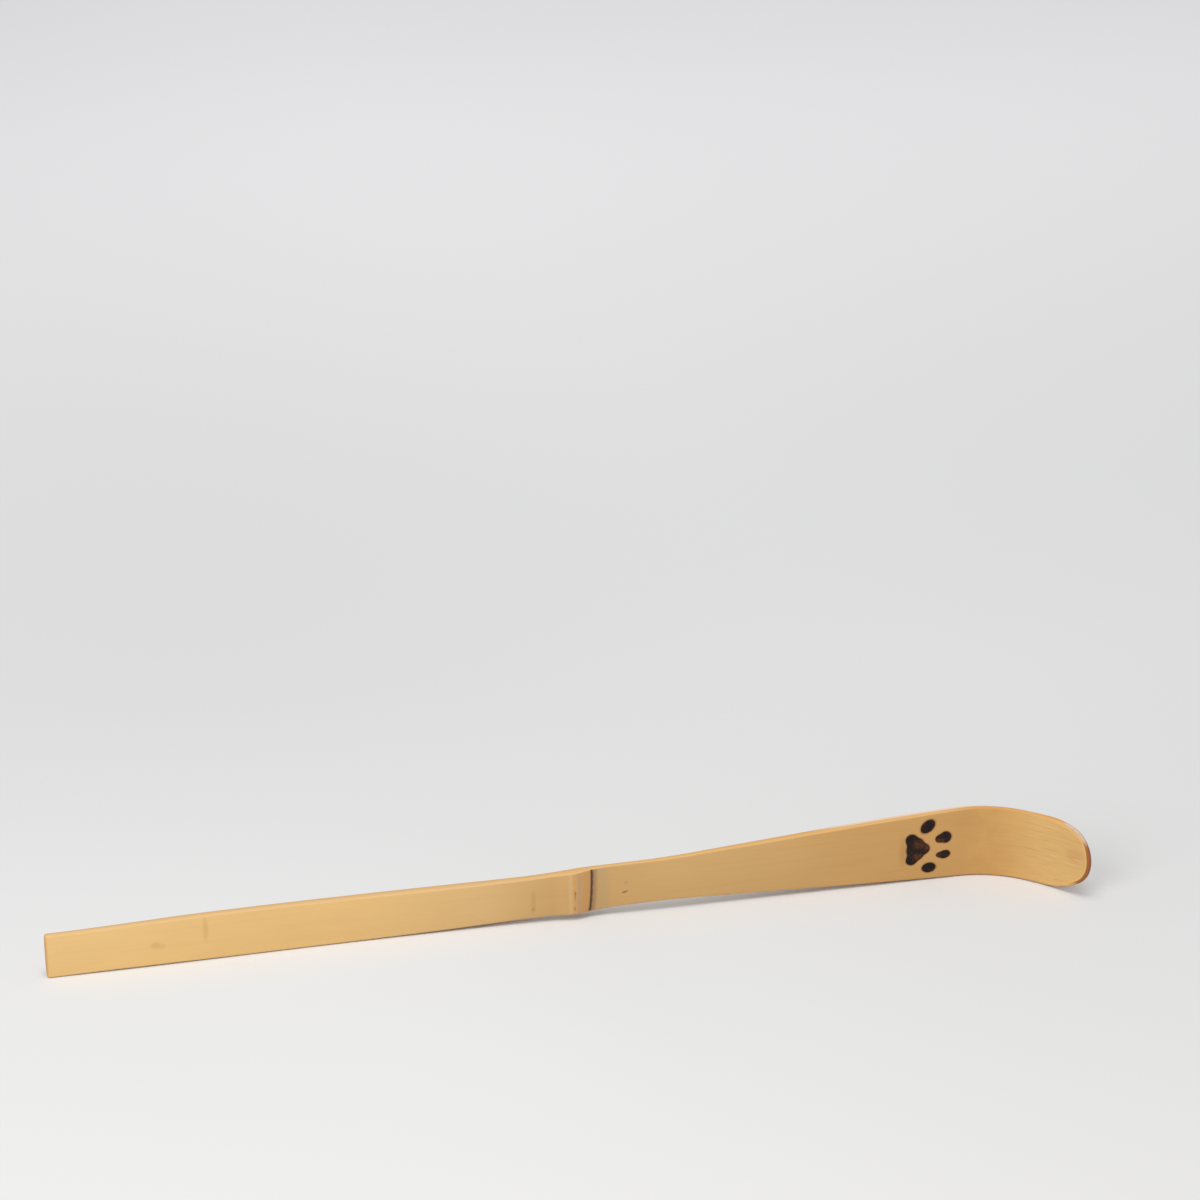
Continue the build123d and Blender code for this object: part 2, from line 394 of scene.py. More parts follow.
def end_gap(s, w):
    """Distance of a place on the tip from the outline of its rounded end."""
    place = Vector((s, w))
    turn = math.atan2(w - NOSE_LIFT, s - NOSE_MIDDLE.x)
    if turn > UPPER_TURN:
        return ARCH_SIDE_RADIUS - (place - UPPER_MIDDLE).length
    if turn < -LOWER_TURN:
        return ARCH_SIDE_RADIUS - (place - LOWER_MIDDLE).length
    return NOSE_RADIUS - (place - NOSE_MIDDLE).length


def face_depth(s, w, shape):
    """Depth of the front: the skin with its slight crown, the tip's bevel, the crack and the paw."""
    share = w / half_width(s)
    at_end = eased(s, BEVEL_START, BEVEL_FULL)
    depth = skin_depth(s) + shape.crown / MM * share * share * (1 - CROWN_LOST_AT_TIP * at_end)
    if at_end:
        at_end *= eased(w, BEVEL_LOW, BEVEL_HIGH) * (1 - BEVEL_FADE_SHARE * eased(w, *BEVEL_FADE))
        depth += BEVEL_DEPTH * max(1 - end_gap(s, w) / BEVEL_WIDTH, 0.0) * at_end
    gap = (s - CRACK_MIDDLE - CRACK_LEAN * w - CRACK_BOW * w * w) / CRACK_HALF_WIDTH
    if abs(gap) < CRACK_REACH:
        depth += CRACK_DEPTH * math.exp(-gap * gap)
    if PAW_BOX[0] < s < PAW_BOX[1]:
        sunk = eased(mark_field(PAW_PAD + PAW_TOES, s, w), SINK_START, SINK_FULL)
        rough = CHAR_ROUGHNESS * noise.noise(Vector((s * CHAR_GRAIN, w * CHAR_GRAIN, CHAR_SEED)))
        depth += shape.burn_depth / MM * sunk * (1.0 + rough)
    return depth


def rear_depth(s, w, shape):
    """Depth of the back: slightly crowned, with knife facets and the trimmed scar of the node."""
    share = w / half_width(s)
    facet = noise.noise(Vector((s * FACETS_ALONG, w * FACETS_ACROSS, FACET_SEED)))
    scar = math.exp(-(((s - SCAR_MIDDLE - SCAR_BOW * w * w) / SCAR_HALF_WIDTH) ** 2))
    heel = HEEL_ROUNDING * share**4 * (1 - eased(s, *HEEL_FADE))
    carved = shape.back_crown / MM * share * share + heel
    carved += FACET_DEPTH * (1 + facet) - SCAR_HEIGHT * scar
    return back_depth(s) - carved * (1 - THINNING_SHARE * eased(s, *THINNING))


def arch_points(count):
    """Places along and across of the tip's rounded end, inside its eased edge, from below."""
    side, nose = ARCH_SIDE_RADIUS - EDGE_RADIUS, NOSE_RADIUS - EDGE_RADIUS
    arcs = (
        (LOWER_MIDDLE, side, -math.pi / 2, -LOWER_TURN),
        (NOSE_MIDDLE, nose, -LOWER_TURN, UPPER_TURN),
        (UPPER_MIDDLE, side, UPPER_TURN, math.pi / 2),
    )
    whole = sum(radius * (end - start) for _, radius, start, end in arcs)
    shoulder = whole - side * (math.pi / 2 - UPPER_TURN)
    places = []
    for step in range(count + 1):
        rest = run = whole * step / count
        for arc in arcs:
            middle, radius, start, end = arc
            if rest <= radius * (end - start) or arc is arcs[-1]:
                break
            rest -= radius * (end - start)
        turn = min(start + rest / radius, end)
        fuller = SHOULDER_FULLNESS * math.exp(-(((run - shoulder) / SHOULDER_REACH) ** 2))
        places.append(middle + (radius + fuller) * Vector((math.cos(turn), math.sin(turn))))
    return places


def plan_of_strip():
    """Rows of places along and across that fill the strip inside its eased edge."""
    stations = [CUT_END_TRIM + EDGE_RADIUS]
    inner_corner = CORNER_RADIUS - EDGE_RADIUS
    for step in range(1, CORNER_ROWS + 1):
        run = inner_corner * (1 - math.cos(math.pi / 2 * step / CORNER_ROWS))
        stations.append(stations[0] + run)
    for end, rows in RUNS:
        start = stations[-1]
        stations += [start + (end - start) * step / rows for step in range(1, rows + 1)]
    plan = []
    for s in stations:
        half = half_width(s) - EDGE_RADIUS
        into = max(inner_corner - (s - stations[0]), 0.0)
        half += math.sqrt(max(inner_corner**2 - into**2, 0.0)) - inner_corner
        plan.append([(s, half * (2 * step / ACROSS - 1)) for step in range(ACROSS + 1)])
    base, arch = plan[-1], arch_points(ACROSS)
    for row in range(1, ARCH_ROWS + 1):
        t = 1 - (1 - row / ARCH_ROWS) ** ARCH_CROWDING
        plan.append(
            [
                (s + (arch_s - s) * t, w + (arch_w - w) * t)
                for (s, w), (arch_s, arch_w) in zip(base, arch)
            ]
        )
    return plan


def rim_directions(plan):
    """Direction that looks out of the strip, for the row and column of each place on its rim."""
    rows, columns = len(plan) - 1, len(plan[0]) - 1
    rim = [(row, 0) for row in range(rows)]
    rim += [(rows, column) for column in range(columns)]
    rim += [(row, columns) for row in range(rows, 0, -1)]
    rim += [(0, column) for column in range(columns, 0, -1)]
    directions = {}
    for before, place, after in zip(rim[-1:] + rim, rim, rim[1:] + rim[:1]):
        (s, w), (next_s, next_w) = (plan[row][column] for row, column in (before, after))
        directions[place] = Vector((next_w - w, s - next_s)).normalized()
    return directions


def block_of_cells(rows, columns, rings):
    """A closed block, one cell high: a grid that is extruded, with rings round its walls."""
    bm = bmesh.new()
    bmesh.ops.create_grid(bm, x_segments=rows, y_segments=columns, size=0.5)
    for vert in bm.verts:
        vert.co = ((vert.co.x + 0.5) * rows, (vert.co.y + 0.5) * columns, 0.0)
    skin = list(bm.faces)
    extruded = bmesh.ops.extrude_face_region(bm, geom=skin, use_keep_orig=True)["geom"]
    back = [item for item in extruded if isinstance(item, bmesh.types.BMVert)]
    bmesh.ops.translate(bm, verts=back, vec=(0.0, 0.0, 1.0))
    walls = [edge for edge in bm.edges if abs(edge.verts[0].co.z - edge.verts[1].co.z) > 0.5]
    bmesh.ops.subdivide_edges(bm, edges=walls, cuts=rings, use_grid_fill=True)
    return bm


def smooth_mesh(bm, name):
    """Turns a bmesh into a smooth mesh."""
    for face in bm.faces:
        face.smooth = True
    mesh = bpy.data.meshes.new(name)
    bm.to_mesh(mesh)
    bm.free()
    return mesh


def strip_mesh(shape):
    """The strip as one closed mesh: a block of cells, moved to the skin, the back and the edges.

    Its points carry what the bamboo's material reads: the place along, across and in depth, the
    shares of rim, back and rear half, and the distance from the outline of the tip's end.
    """
    plan = plan_of_strip()
    outward = rim_directions(plan)
    rows, rings = len(plan) - 1, 2 * EDGE_RINGS
    bm = block_of_cells(rows, ACROSS, rings)
    grain = bm.verts.layers.float_vector.new("grain")
    rim_share = bm.verts.layers.float.new("rim")
    back_share = bm.verts.layers.float.new("back")
    behind_share = bm.verts.layers.float.new("behind")
    end_layer = bm.verts.layers.float.new("end_gap")
    for vert in bm.verts:
        row, column, level = round(vert.co.x), round(vert.co.y), vert.co.z
        s, w = plan[row][column]
        front, rear = face_depth(s, w, shape), rear_depth(s, w, shape)
        ring = round(level * (rings + 1))
        if 0 < ring <= rings:
            near_skin = ring <= EDGE_RINGS
            turn = math.pi / 2 * (ring if near_skin else rings + 1 - ring) / EDGE_RINGS
            worn = noise.noise(Vector((s * WEAR_ALONG, w * WEAR_ACROSS, WEAR_SEED)))
            left = 1.0 - EDGE_WEAR * (1.0 + worn)
            side = outward[row, column] * EDGE_RADIUS * math.sin(turn) * left
            drop = EDGE_RADIUS * (1 - math.cos(turn))
            s, w = s + side.x, w + side.y
            depth = front + drop if near_skin else rear - drop
            vert[rim_share] = math.sin(turn)
            vert[behind_share] = 0.0 if near_skin else 1.0
            vert[back_share] = 0.0 if near_skin else 1.0 - math.sin(turn)
        else:
            depth = front if ring == 0 else rear
            vert[behind_share] = vert[back_share] = 0.0 if ring == 0 else 1.0
        vert[end_layer] = end_gap(s, w) if s > BEVEL_START else FAR_FROM_END
        s -= NOSE_LEAN * depth * max(row - rows + ARCH_ROWS, 0) / ARCH_ROWS
        vert[grain] = (s, w, depth)
        vert.co = in_frame(s, w, depth)
    # The faces agree first, and then all of them look out of the wood.
    bmesh.ops.recalc_face_normals(bm, faces=bm.faces)
    if bm.calc_volume(signed=True) < 0:
        bmesh.ops.reverse_faces(bm, faces=bm.faces)
    return smooth_mesh(bm, "bamboo_strip")


def linear(colour):
    """A colour as it is seen on a screen, as the linear colour with alpha that a shader reads."""
    return [c / 12.92 if c <= 0.04045 else ((c + 0.055) / 1.055) ** 2.4 for c in colour] + [1.0]


def tint(colour):
    """A colour from 0 to 255, as the linear colour with alpha that a shader reads."""
    return linear([part / 255 for part in colour])


def node(tree, kind, inputs=None, output=0, **settings):
    """Adds a shader node, sets it, fills or links its inputs and returns one of its outputs."""
    made = tree.nodes.new(kind)
    for name, value in settings.items():
        setattr(made, name, value)
    for key, value in (inputs or {}).items():
        if isinstance(value, bpy.types.NodeSocket):
            tree.links.new(value, made.inputs[key])
        else:
            made.inputs[key].default_value = value
    return made.outputs[output]


def math_node(tree, operation, *values):
    """Adds a math node and returns its value."""
    return node(tree, "ShaderNodeMath", dict(enumerate(values)), operation=operation)


def vector_node(tree, operation, *values, output="Vector"):
    """Adds a vector math node and returns its vector or its value."""
    inputs = dict(enumerate(values))
    return node(tree, "ShaderNodeVectorMath", inputs, output, operation=operation)


def product(tree, *values):
    """Multiplies values."""
    return reduce(lambda first, second: math_node(tree, "MULTIPLY", first, second), values)


def largest(tree, *values):
    """The largest of some values."""
    return reduce(lambda first, second: math_node(tree, "MAXIMUM", first, second), values)


def scaled(tree, value, factor, lift):
    """A value times a factor, plus a lift."""
    return math_node(tree, "MULTIPLY_ADD", value, factor, lift)


def ramp(tree, value, start, end, low=0.0, high=1.0):
    """Turns a value into one that eases from low to high between start and end."""
    inputs = {"Value": value, 1: start, 2: end, 3: low, 4: high}
    return node(tree, "ShaderNodeMapRange", inputs, interpolation_type="SMOOTHSTEP")


def blend_colours(tree, share, first, second, kind="MIX"):
    """Mixes two colours by a share."""
    inputs = {0: share, 6: first, 7: second}
    return node(tree, "ShaderNodeMix", inputs, 2, data_type="RGBA", blend_type=kind)


def band(tree, along, start, end, soft):
    """A share that is 1 between two places along the strip and eases to 0 outside them."""
    rise = ramp(tree, along, start - soft, start + soft)
    fall = ramp(tree, along, end - soft, end + soft, low=1.0, high=0.0)
    return product(tree, rise, fall)


def spot(tree, place, middle, radii, soft=0.5):
    """A share that is 1 in the middle of an oval spot and eases to 0 at its rim."""
    offset = vector_node(tree, "SUBTRACT", place, (*middle, 0.0))
    in_radii = vector_node(tree, "MULTIPLY", offset, (1 / radii[0], 1 / radii[1], 0.0))
    far = vector_node(tree, "LENGTH", in_radii, output="Value")
    return ramp(tree, far, 1 - soft, 1 + soft, low=1.0, high=0.0)


def mark_share(tree, place, marks):
    """Strength of burned marks, as mark_field gives it."""
    fields = []
    for s, w, long_radius, short_radius, turn in marks:
        inputs = {
            "Vector": place,
            "Location": (s, w, 0.0),
            "Rotation": (0.0, 0.0, math.radians(turn)),
            "Scale": (long_radius * MARK_REACH, short_radius * MARK_REACH, 1.0),
        }
        mapped = node(tree, "ShaderNodeMapping", inputs, vector_type="TEXTURE")
        flat = vector_node(tree, "MULTIPLY", mapped, (1.0, 1.0, 0.0))
        square = vector_node(tree, "DOT_PRODUCT", flat, flat, output="Value")
        left = largest(tree, math_node(tree, "SUBTRACT", 1.0, square), 0.0)
        fields.append(product(tree, left, left))
    return reduce(lambda first, second: math_node(tree, "ADD", first, second), fields)


def streaks(tree, place, along, across, detail=3.0, roughness=0.55, offset=0.0):
    """Noise drawn out along the fibres, with its repeats per millimetre along and across."""
    inputs = {"Vector": place, "Location": (offset,) * 3, "Scale": (along, across, across)}
    drawn = node(tree, "ShaderNodeMapping", inputs)
    inputs = {"Vector": drawn, "Scale": 1.0, "Detail": detail, "Roughness": roughness}
    return node(tree, "ShaderNodeTexNoise", inputs, noise_dimensions="3D")


def new_material(name):
    """A material with an empty tree of nodes."""
    material = bpy.data.materials.new(name)
    material.use_nodes = True
    material.node_tree.nodes.clear()
    return material


def show_surface(tree, inputs):
    """Links a principled surface with these inputs to the material's output."""
    surface = node(tree, "ShaderNodeBsdfPrincipled", inputs)
    shown = tree.nodes.new("ShaderNodeOutputMaterial")
    tree.links.new(surface, shown.inputs["Surface"])


class ScoopShape(PropertyGroup):
    """Sizes of the strip's finer shapes."""

    crown: FloatProperty(
        name="Crown of the skin",
        description="How far the edges of the face lie behind its middle, as on a culm",
        default=0.0002,
        min=0.0,
        unit="LENGTH",
    )
    back_crown: FloatProperty(
        name="Crown of the back",
        description="How far the edges of the back are whittled below its middle",
        default=0.00015,
        min=0.0,
        unit="LENGTH",
    )
    burn_depth: FloatProperty(
        name="Depth of the burn",
        description="How far the burned paw is sunk into the skin",
        default=0.00012,
        min=0.0,
        unit="LENGTH",
    )


def colour_property(name, description, red, green, blue):
    """A colour setting, written as it is seen on a screen from 0 to 255."""
    return FloatVectorProperty(
        name=name,
        description=description,
        default=(red / 255, green / 255, blue / 255),
        min=0.0,
        max=1.0,
        subtype="COLOR_GAMMA",
    )


class ScoopFinish(PropertyGroup):
    """Colours of the bamboo."""

    handle: colour_property("Handle", "Skin at the cut end of the handle", 231, 191, 127)
    handle_middle: colour_property("Middle of the handle", "Skin halfway to the node", 227, 186, 122)
    neck: colour_property("Neck", "Skin before the node", 217, 178, 121)
    node_foot: colour_property("Foot of the node", "Skin just before the node", 205, 163, 106)
    blade_root: colour_property("Root of the blade", "Skin after the node", 207, 166, 108)
    blade: colour_property("Blade", "Skin where the blade is widest", 203, 158, 98)
    bend: colour_property("Bend", "Skin on the inside of the bend", 204, 157, 94)
    # The tip's lighter colour is partly a painted lit side, where the lip turns towards the front
    # lamp.
    tip: colour_property("Tip", "Skin on the bent tip", 213, 172, 109)
    cut_edge: colour_property("Cut edges", "Whittled sides of the handle", 215, 177, 124)
    blade_edge: colour_property("Edges of the blade", "Whittled sides of the blade", 212, 166, 105)
    # The arris colour also serves as painted shade on the rear half of the whittled sides.
    arris: colour_property("Arrises", "Toasted corners, and the sides of the tip", 204, 147, 84)
    # The next colour is a painted highlight on the rear arris behind the blade.
    far_arris_highlight: colour_property("Highlit far arris", "Paler corner behind the blade", 228, 200, 176)
    inner_wood: colour_property("Back", "Inner wood on the back", 222, 186, 126)
    # The pale end grain is partly painted light where the tip's end faces up, and the toasted end's
    # brown is partly toasting and partly painted shade where it faces the floor.
    end_grain: colour_property("End grain", "Pale fibres at the end of the tip", 205, 176, 150)
    toasted_shaded_end: colour_property("Toasted end", "Browned end of the tip", 156, 96, 54)
    char: colour_property("Char", "Burned wood of the paw", 22, 14, 11)
    # The scorch colour is partly a painted highlight on the glossy char.
    scorch: colour_property("Scorch", "Browned wood in the paw", 100, 54, 28)
    crack: colour_property("Crack", "Dark line at the sheath scar", 80, 57, 42)


class StageSettings(PropertyGroup):
    """Camera and lights."""

    camera_place: FloatVectorProperty(
        name="Camera",
        description="Place of the camera",
        default=(-0.17097, -0.63895, 0.3018),
        subtype="TRANSLATION",
        unit="LENGTH",
    )
    camera_pitch: FloatProperty(
        name="Pitch",
        description="How far the camera looks down",
        default=math.radians(20.0),
        subtype="ANGLE",
        unit="ROTATION",
    )
    camera_turn: FloatProperty(
        name="Turn",
        description="How far the camera looks to the right of straight ahead",
        default=math.radians(15.303),
        subtype="ANGLE",
        unit="ROTATION",
    )
    lens: FloatProperty(
        name="Lens",
        description="Focal length in millimetres on a 36 mm sensor",
        default=127.5,
        min=1.0,
    )
    sky: FloatProperty(
        name="Room light",
        description="Even light from all round, where 1 shows a white floor as white",
        default=0.38,
        min=0.0,
    )
    overhead: FloatProperty(
        name="Overhead light",
        description="Power of the wide lamp above the scoop, in watts",
        default=24.2,
        min=0.0,
    )
    front: FloatProperty(
        name="Front light",
        description="Power of the lamp in front and to the left, in watts",
        default=5.4,
        min=0.0,
    )


def grain_of_strip(tree):
    """What the mesh carries for its material, and the fibres that run through all of the wood."""

    def carried(name, output="Fac"):
        """A value that the mesh carries at each of its points."""
        return node(tree, "ShaderNodeAttribute", output=output, attribute_name=name)

    place = carried("grain", "Vector")
    return SimpleNamespace(
        tree=tree,
        place=place,
        along=node(tree, "ShaderNodeSeparateXYZ", {0: place}, "X"),
        across=node(tree, "ShaderNodeSeparateXYZ", {0: place}, "Y"),
        rim=carried("rim"),
        back=carried("back"),
        behind=ramp(tree, carried("behind"), 0.3, 0.75),
        end_gap=carried("end_gap"),
        fine=streaks(tree, place, along=0.09, across=7.0, detail=4.0, roughness=0.6),
        broad=streaks(tree, place, along=0.03, across=1.1, detail=2.0, roughness=0.5, offset=11.0),
    )


def skin_wood(grain, finish):
    """The skin: a colour that drifts along the strip, with fibres, clouds of tone and streaks."""
    tree, along = grain.tree, grain.along
    skin = linear(finish.handle)
    for name, start, end in SKIN_DRIFT:
        colour = linear(getattr(finish, name))
        skin = blend_colours(tree, ramp(tree, along, start, end), skin, colour)
    clouds = streaks(
        tree, grain.place, along=0.06, across=0.16, detail=2.0, roughness=0.5, offset=31.0
    )
    layers = (grain.fine, grain.broad, clouds)
    tone = product(tree, *(scaled(tree, layer, factor=0.1, lift=0.95) for layer in layers))
    toned = node(tree, "ShaderNodeCombineXYZ", {0: tone, 1: tone, 2: tone})
    skin = blend_colours(tree, 1.0, skin, toned, "MULTIPLY")
    towards_tip = ramp(tree, along, 40.0, 175.0, low=0.05, high=0.4)
    warm = product(tree, ramp(tree, grain.broad, 0.48, 0.72), towards_tip)
    return blend_colours(tree, warm, skin, linear(WARM_STREAK))


def heated_skin(grain, skin):
    """The skin browned in clouds where heat bent it, with dark and pale fibres on the tip."""
    tree, place = grain.tree, grain.place
    patches = streaks(tree, place, along=0.22, across=0.35, detail=3.0, roughness=0.5, offset=47.0)
    browned = ramp(tree, patches, 0.35, 0.65, high=0.2)
    at_bend = product(tree, band(tree, grain.along, 161.5, 169.5, soft=2.5), browned)
    skin = blend_colours(tree, at_bend, skin, linear(BROWNED_BEND))
    fibres = streaks(tree, place, along=0.25, across=2.8, detail=2.5, roughness=0.55, offset=23.0)
    dark = ramp(tree, fibres, 0.52, 0.74, high=0.28)
    pale = ramp(tree, fibres, 0.46, 0.3, high=0.35)
    on_tip = ramp(tree, grain.along, 165.0, 178.0)
    for share, colour in ((dark, DARK_FIBRE), (pale, PALE_FIBRE)):
        skin = blend_colours(tree, product(tree, share, on_tip), skin, linear(colour))
    return skin


def marked_skin(grain, skin, finish):
    """The skin with the bands and the crack of the node, and the small stains."""
    tree, across = grain.tree, grain.across
    bow = scaled(tree, across, -CRACK_LEAN, grain.along)
    bow = scaled(tree, product(tree, across, across), -CRACK_BOW, bow)
    for bows, start, end, soft, strength, colour in NODE_BANDS:
        here = band(tree, bow if bows else grain.along, start, end, soft)
        skin = blend_colours(tree, product(tree, here, strength), skin, tint(colour))
    ragged = streaks(tree, grain.place, along=0.8, across=1.2)
    crack_place = math_node(tree, "ADD", bow, scaled(tree, ragged, factor=0.3, lift=-0.15))
    low, high = CRACK_MIDDLE - CRACK_DARK_HALF_WIDTH, CRACK_MIDDLE + CRACK_DARK_HALF_WIDTH
    crack = band(tree, crack_place, low, high, CRACK_DARK_HALF_WIDTH)
    skin = blend_colours(tree, crack, skin, linear(finish.crack))
    for middle, radii, strength, colour in STAINS:
        here = product(tree, spot(tree, grain.place, middle, radii), strength)
        skin = blend_colours(tree, here, skin, tint(colour))
    return skin


def cut_wood(grain, finish):
    """The whittled sides: pale cut fibres, toasted towards the tip, with painted shade on the rear
    arris and a painted highlight on it behind the blade.
    """
    tree, along = grain.tree, grain.along
    fleck = streaks(tree, grain.place, along=0.25, across=9.0, roughness=0.6, offset=5.0)
    at_blade = ramp(tree, along, 60.0, 125.0)
    cut = blend_colours(tree, at_blade, linear(finish.cut_edge), linear(finish.blade_edge))
    cut = blend_colours(tree, ramp(tree, fleck, 0.45, 0.75, high=0.4), cut, linear(CUT_FIBRE))
    # Toasted towards the tip, and painted shade on the rear half of the rim all along.
    toasted = largest(tree, ramp(tree, along, 157.0, 166.0), product(tree, grain.behind, 0.32))
    cut = blend_colours(tree, toasted, cut, linear(finish.arris))
    # A painted highlight on the rear arris behind the blade.
    far_arris_highlight = product(tree, band(tree, along, 138.0, 166.0, soft=5.0), grain.behind)
    return blend_colours(tree, far_arris_highlight, cut, linear(finish.far_arris_highlight))


def inner_wood(grain, finish):
    """The back: inner wood with its dark bundles of fibres, and the trimmed scar of the node."""
    tree = grain.tree
    bundles = streaks(
        tree, grain.place, along=0.05, across=3.4, detail=4.0, roughness=0.65, offset=17.0
    )
    dark = ramp(tree, bundles, 0.5, 0.72, high=0.6)
    inner = blend_colours(tree, dark, linear(finish.inner_wood), linear(DARK_BUNDLE))
    trimmed = product(tree, band(tree, grain.along, 91.0, 92.0, soft=0.6), 0.45)
    return blend_colours(tree, trimmed, inner, linear(TRIMMED_SCAR))


def whole_wood(grain, skin, cut, inner, finish):
    """Skin, sides and back together, with a toasted corner at the cut end."""
    tree = grain.tree
    wood = blend_colours(tree, ramp(tree, grain.rim, *RIM_FADE), skin, cut)
    at_cut_end = ramp(tree, grain.along, 0.2, 0.6, low=0.6, high=0.0)
    off_back = ramp(tree, grain.back, *BACK_FADE, low=1.0, high=0.0)
    corner = product(tree, at_cut_end, off_back)
    wood = blend_colours(tree, corner, wood, linear(finish.arris))
    return blend_colours(tree, ramp(tree, grain.back, *BACK_FADE), wood, inner)


def tip_end_wood(grain, wood, finish):
    """The end of the tip: a painted highlight along its front edge, then end grain, pale above and
    browned below; that split is partly toasting and partly painted light above and painted shade
    below.
    """
    tree, across = grain.tree, grain.across
    narrower = ramp(tree, across, *BEVEL_FADE, high=0.3)
    gap = math_node(tree, "ADD", grain.end_gap, narrower)
    # A painted highlight along the front edge of the tip's end.
    edge_highlight = product(tree, band(tree, gap, 0.64, 0.88, soft=0.1), 0.75)
    wood = blend_colours(tree, edge_highlight, wood, linear(PAINTED_EDGE_HIGHLIGHT))
    at_end = product(
        tree,
        ramp(tree, gap, 0.5, 0.66, low=1.0, high=0.0),
        ramp(tree, grain.back, 0.7, 0.95, low=1.0, high=0.0),
        ramp(tree, grain.along, *END_GRAIN_ALONG),
        ramp(tree, across, *END_GRAIN_ACROSS),
    )
    speckle = streaks(tree, grain.place, along=4.0, across=4.0, roughness=0.6, offset=3.0)
    # Below, the end turns brown: partly toasting, and partly painted shade where the end faces the
    # floor.
    height = scaled(tree, speckle, 1.8, across)
    below = ramp(tree, height, 3.8, 5.2, low=1.0, high=0.0)
    toasted = largest(tree, below, ramp(tree, speckle, 0.58, 0.68, high=0.6))
    end = blend_colours(tree, toasted, linear(finish.end_grain), linear(finish.toasted_shaded_end))
    return blend_colours(tree, at_end, wood, end)


def burned_wood(grain, wood, finish):
    """The burned paw: black char with browned places that are partly painted highlights, and a faint
    scorch round it.
    """
    tree, place = grain.tree, grain.place
    ragged = node(tree, "ShaderNodeTexNoise", {"Vector": place, "Scale": 2.2, "Detail": 3.0})
    pad, toes = (mark_share(tree, place, marks) for marks in (PAW_PAD, PAW_TOES))
    field = math_node(tree, "ADD", pad, toes)
    field = math_node(tree, "ADD", field, scaled(tree, ragged, factor=0.08, lift=-0.04))
    on_skin = math_node(tree, "SUBTRACT", 1.0, largest(tree, grain.rim, grain.back))
    singe = product(tree, spot(tree, place, *SINGE, soft=0.8), 0.25)
    halo = largest(tree, ramp(tree, field, 0.01, 0.2, high=0.6), singe)
    wood = blend_colours(tree, product(tree, halo, on_skin), wood, linear(SCORCH_HALO))
    # Browned places, partly painted highlights on the glossy char.
    brown = largest(tree, *(spot(tree, place, *oval, soft=0.6) for oval in PAW_BROWN_AND_GLINTS))
    brown = product(tree, brown, ramp(tree, ragged, 0.35, 0.65, low=0.2, high=0.9))
    brown = largest(tree, brown, ramp(tree, ragged, 0.5, 0.75, high=0.35))
    char = blend_colours(tree, brown, linear(finish.char), linear(finish.scorch))
    burned = product(tree, ramp(tree, field, 0.17, 0.33), on_skin)
    return blend_colours(tree, burned, wood, char)


def bamboo_material(finish):
    """Bamboo with its fibres, its toasting, the marks of its node and the burned paw."""
    material = new_material("bamboo")
    tree = material.node_tree
    grain = grain_of_strip(tree)
    skin = marked_skin(grain, heated_skin(grain, skin_wood(grain, finish)), finish)
    wood = whole_wood(grain, skin, cut_wood(grain, finish), inner_wood(grain, finish), finish)
    wood = burned_wood(grain, tip_end_wood(grain, wood, finish), finish)
    relief = scaled(tree, grain.broad, 0.6, grain.fine)
    inputs = {"Strength": RELIEF_STRENGTH, "Distance": RELIEF_HEIGHT, "Height": relief}
    fibres = node(tree, "ShaderNodeBump", inputs)
    polish = ramp(tree, grain.fine, 0.3, 0.7, low=0.42, high=0.52)
    roughness = scaled(tree, largest(tree, grain.rim, grain.back), 0.18, polish)
    inputs = {
        "Base Color": wood,
        "Roughness": roughness,
        "Specular IOR Level": SHEEN,
        "Normal": fibres,
    }
    show_surface(tree, inputs)
    return material


class SCOOP_OT_strip(Operator):
    """Models the strip of bamboo with its node, its bent tip and its burned paw"""

    bl_idname = "scoop.strip"
    bl_label = "Bamboo strip"

    def execute(self, context):
        scene = context.scene
        strip = bpy.data.objects.new("bamboo_strip", strip_mesh(scene.scoop_shape))
        scene.collection.objects.link(strip)
        strip.data.materials.append(bamboo_material(scene.scoop_finish))
        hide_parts("bamboo_scoop")
        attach(strip, "root")
        return {"FINISHED"}


def floor_material():
    """Pale paper with painted light and shade: brightest far behind the scoop, and darker at the
    near right and the far left.
    """
    material = new_material("pale_floor")
    tree = material.node_tree
    where = node(tree, "ShaderNodeTexCoord", output="Object")
    side = node(tree, "ShaderNodeSeparateXYZ", {0: where}, "X")
    depth = node(tree, "ShaderNodeSeparateXYZ", {0: where}, "Y")
    colour = linear(NEAR_PAPER)
    colour = blend_colours(tree, ramp(tree, depth, -0.13, 0.0), colour, linear(PAPER))
    colour = blend_colours(tree, ramp(tree, depth, 0.12, 0.62), colour, linear(FAR_PAPER_PAINTED_LIGHT))
    # Painted shade at the near right and the far left.
    painted_near_shade = ramp(tree, side, -0.05, 0.09, low=1.0, high=0.96)
    painted_far_lift = ramp(tree, side, -0.06, 0.11, low=0.945, high=1.0)
    shade = blend_colours(tree, ramp(tree, depth, 0.0, 0.13), painted_near_shade, painted_far_lift)
    colour = blend_colours(tree, 1.0, colour, shade, "MULTIPLY")
    show_surface(tree, {"Base Color": colour, "Roughness": 0.9, "Specular IOR Level": 0.1})
    return material


def floor_rise(x, y):
    """How far the paper swells under the handle, as it doesn't lie quite flat."""
    reach = SWELL_TO_HANDLE if x < SWELL_CREST else SWELL_TO_BLADE
    along = min(abs(x - SWELL_CREST) / reach, 1.0)
    across = min(max(abs(y) - SWELL_FLAT, 0.0) / SWELL_FADE, 1.0)
    return SWELL_HEIGHT * (1 + math.cos(math.pi * along)) * (1 + math.cos(math.pi * across)) / 4


